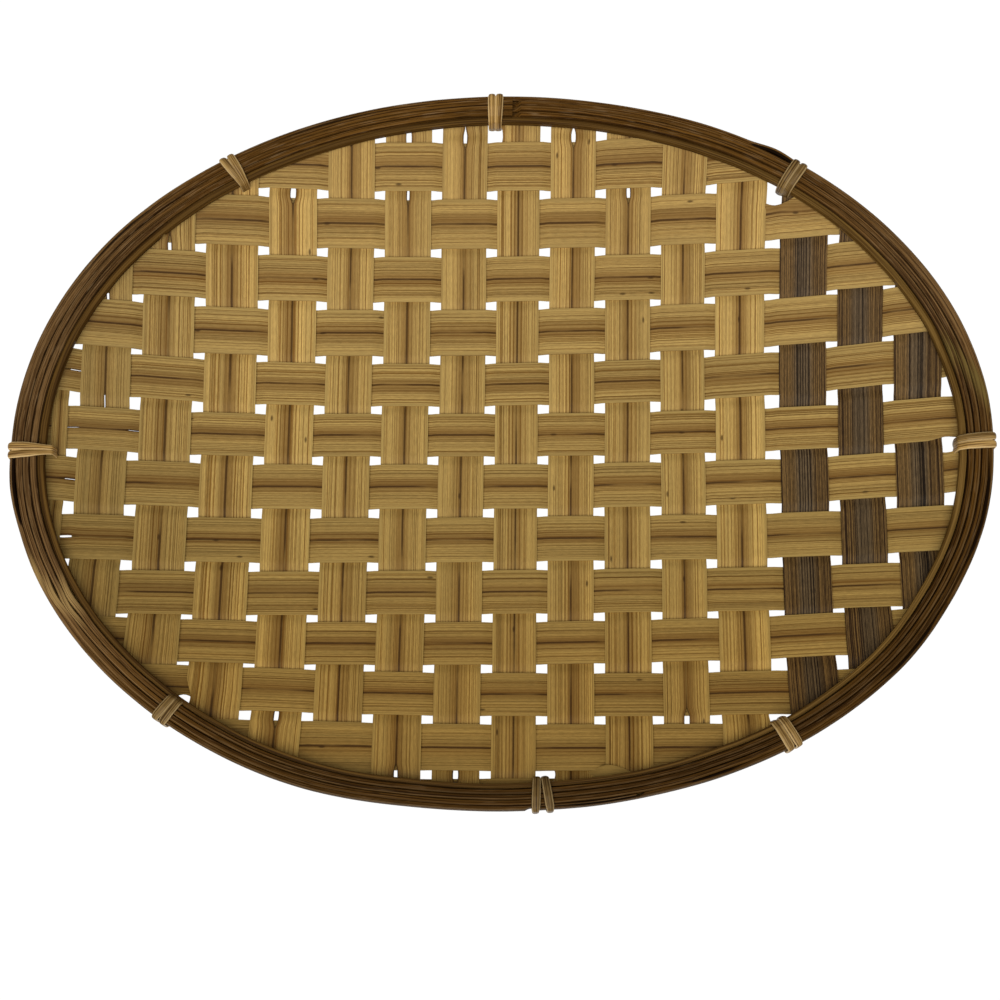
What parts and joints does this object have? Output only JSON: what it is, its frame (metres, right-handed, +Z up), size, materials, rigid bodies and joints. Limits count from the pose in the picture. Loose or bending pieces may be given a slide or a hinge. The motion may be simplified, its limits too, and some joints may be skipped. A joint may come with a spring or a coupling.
{
  "type": "woven tray",
  "caption": "Shallow oval tray of flat bamboo splints in plain weave, rising to a rim of bent bamboo hoops that split-cane lashings tie to the weave.",
  "frame": {"origin": "on the table, under the middle of the tray", "axes": "+X along the tray's length, towards the end with the stained splints; +Z up"},
  "size_m": [0.3624, 0.2721, 0.0197],
  "materials": {
    "natural_bamboo": "bare planed splint, satin",
    "stained_bamboo": "dark stained splint, satin",
    "rim_bamboo": "dark stained strip, satin",
    "liner_bamboo": "bare strip, satin",
    "split_cane": "bare cane with its glossy skin outwards"
  },
  "bodies": {
    "root": {"warp_splint_01": "natural_bamboo", "warp_splint_02": "natural_bamboo", "warp_splint_03": "natural_bamboo", "warp_splint_04": "natural_bamboo", "warp_splint_05": "natural_bamboo", "warp_splint_06": "natural_bamboo", "warp_splint_07": "natural_bamboo", "warp_splint_08": "natural_bamboo", "warp_splint_09": "natural_bamboo", "warp_splint_10": "natural_bamboo", "warp_splint_11": "natural_bamboo", "warp_splint_12": "natural_bamboo", "warp_splint_13": "stained_bamboo", "warp_splint_14": "stained_bamboo", "warp_splint_15": "stained_bamboo", "warp_splint_left_edge": "natural_bamboo", "weft_splint_01": "natural_bamboo", "weft_splint_02": "natural_bamboo", "weft_splint_03": "natural_bamboo", "weft_splint_04": "natural_bamboo", "weft_splint_05": "natural_bamboo", "weft_splint_06": "natural_bamboo", "weft_splint_07": "natural_bamboo", "weft_splint_08": "natural_bamboo", "weft_splint_09": "natural_bamboo", "weft_splint_10": "natural_bamboo", "weft_splint_11": "natural_bamboo", "weft_splint_12": "natural_bamboo", "weft_splint_near_edge": "natural_bamboo", "outer_hoop": "rim_bamboo", "inner_hoop_1": "rim_bamboo", "inner_hoop_2": "rim_bamboo", "inner_hoop_3": "rim_bamboo", "liner_hoop": "liner_bamboo", "lashing_1": "split_cane", "lashing_2": "split_cane", "lashing_3": "split_cane", "lashing_4": "split_cane", "lashing_5": "split_cane", "lashing_6": "split_cane", "lashing_7": "split_cane", "lashing_8": "split_cane"}
  },
  "joints": []
}
